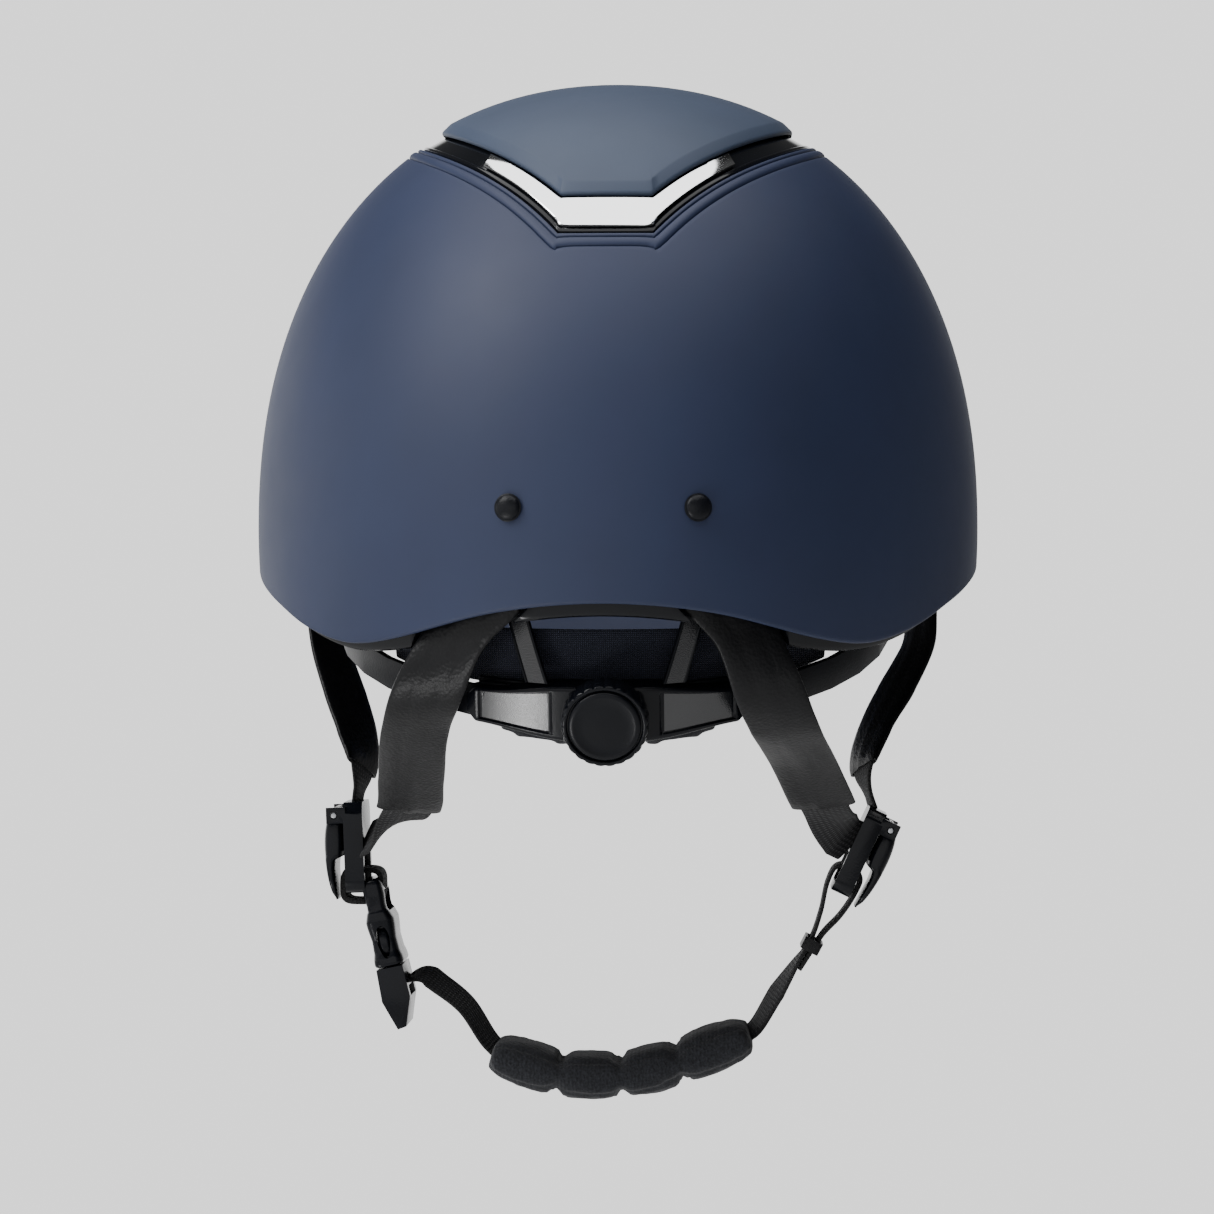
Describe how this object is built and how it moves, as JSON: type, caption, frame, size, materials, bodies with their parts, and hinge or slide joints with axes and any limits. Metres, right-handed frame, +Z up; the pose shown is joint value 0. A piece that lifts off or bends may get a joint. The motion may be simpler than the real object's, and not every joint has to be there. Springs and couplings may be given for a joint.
{
  "type": "equestrian riding helmet",
  "caption": "Hard-shell riding helmet with raised centre panel, trim channel, peak, foam liner, dial-adjusted nape cradle, harness straps, side-release buckle and padded chin strap",
  "frame": {"origin": "centre of the head opening, level with the shell's rim at the side", "axes": "+Z up through the crown, +Y forward towards the peak, +X to the wearer's right"},
  "size_m": [0.2286, 0.3164, 0.3182],
  "materials": {
    "shell_navy": "matt soft-touch navy",
    "panel_navy": "matt soft-touch navy, slightly lighter",
    "gloss_black": "polished black",
    "chrome": "mirror chrome",
    "foam": "expanded polystyrene, black",
    "lining": "quilted black lining",
    "mesh": "fine black mesh cloth",
    "sleeve": "grained leather look",
    "webbing": "ribbed woven webbing",
    "harness_plastic": "satin moulded black",
    "steel": "zinc plated"
  },
  "bodies": {
    "helmet": {"anchor_plate_front_left": "steel", "anchor_plate_front_right": "steel", "anchor_plate_rear_left": "steel", "anchor_plate_rear_right": "steel", "brow_pad": "lining", "centre_panel": "panel_navy", "channel_trim": "gloss_black", "chrome_trim": "chrome", "crown_pad": "lining", "divider_base_left": "harness_plastic", "divider_base_right": "harness_plastic", "flap_pin_left": "steel", "flap_pin_right": "steel", "foam_liner": "foam", "outer_shell": "shell_navy", "peak": "shell_navy", "peak_trim": "gloss_black", "rim_bezel": "gloss_black", "rivet_front_left": "harness_plastic", "rivet_front_right": "harness_plastic", "rivet_rear_left": "harness_plastic", "rivet_rear_right": "harness_plastic", "side_pad_left": "lining", "side_pad_right": "lining", "sleeve_front_left": "sleeve", "sleeve_front_right": "sleeve", "sleeve_rear_left": "sleeve", "sleeve_rear_right": "sleeve", "strap_front_left": "webbing", "strap_front_right": "webbing", "strap_rear_left": "webbing", "strap_rear_right": "webbing", "temple_bracket_left": "harness_plastic", "temple_bracket_right": "harness_plastic"},
    "cradle": {"cradle_cover": "harness_plastic", "cradle_back": "harness_plastic", "nape_pad": "lining", "nape_sling": "mesh", "hanger_left": "harness_plastic", "hanger_right": "harness_plastic", "cradle_screw_left": "steel", "cradle_screw_right": "steel"},
    "dial": {"dial_knob": "harness_plastic", "dial_cap": "harness_plastic", "dial_pinion": "harness_plastic"},
    "arm_left": {"arm_left": "harness_plastic"},
    "arm_right": {"arm_right": "harness_plastic"},
    "flap_left": {"divider_flap_left": "harness_plastic"},
    "flap_right": {"divider_flap_right": "harness_plastic"},
    "chin_loop": {"buckle_link": "webbing", "buckle_female": "harness_plastic", "chin_strap_left": "webbing", "chin_pad": "lining", "chin_strap_right": "webbing", "strap_keeper": "sleeve"},
    "buckle_plug": {"buckle_male": "harness_plastic"},
    "latch_front": {"latch_front": "harness_plastic"},
    "latch_rear": {"latch_rear": "harness_plastic"}
  },
  "joints": [
    {"name": "cradle_tilt", "type": "hinge", "parent": "helmet", "child": "cradle", "pos_m": [0, -0.027, -0.0163], "axis": [1, 0, 0], "range_deg": [-5, 4], "stiffness_Nm_per_rad": 2.5},
    {"name": "dial_turn", "type": "hinge", "parent": "cradle", "child": "dial", "pos_m": [0, -0.11345, -0.04777], "axis": [0, -0.9397, -0.342], "range_deg": [-150, 150]},
    {"name": "arm_left_slide", "type": "hinge", "parent": "cradle", "child": "arm_left", "pos_m": [0, -0.027, -0.0163], "axis": [0, -0.342, 0.9397], "range_deg": [-6.5, 6.5]},
    {"name": "arm_right_slide", "type": "hinge", "parent": "cradle", "child": "arm_right", "pos_m": [0, -0.027, -0.0163], "axis": [0, -0.342, 0.9397], "range_deg": [-6.5, 6.5]},
    {"name": "flap_left_open", "type": "hinge", "parent": "helmet", "child": "flap_left", "pos_m": [-0.08868, -0.002, -0.08012], "axis": [0, 1, 0], "range_deg": [0, 90]},
    {"name": "flap_right_open", "type": "hinge", "parent": "helmet", "child": "flap_right", "pos_m": [0.0854, -0.002, -0.08451], "axis": [0, -1, 0], "range_deg": [0, 90]},
    {"name": "chin_swing", "type": "hinge", "parent": "helmet", "child": "chin_loop", "pos_m": [0, -0.002, -0.1025], "axis": [1, 0, 0], "range_deg": [-10, 10]},
    {"name": "buckle_release", "type": "slide", "parent": "chin_loop", "child": "buckle_plug", "axis": [0.2198, 0, -0.9755], "range_m": [0, 0.024]},
    {"name": "latch_front_press", "type": "hinge", "parent": "buckle_plug", "child": "latch_front", "pos_m": [-0.07146, 0.0065, -0.12708], "axis": [0.9755, 0, 0.2198], "range_deg": [0, 12], "stiffness_Nm_per_rad": 0.02},
    {"name": "latch_rear_press", "type": "hinge", "parent": "buckle_plug", "child": "latch_rear", "pos_m": [-0.07146, -0.0105, -0.12708], "axis": [-0.9755, 0, -0.2198], "range_deg": [0, 12], "stiffness_Nm_per_rad": 0.02}
  ],
  "couplings": [
    {"joint": "arm_left_slide", "follows": "dial_turn", "ratio": -0.042857},
    {"joint": "arm_right_slide", "follows": "dial_turn", "ratio": 0.042857}
  ]
}
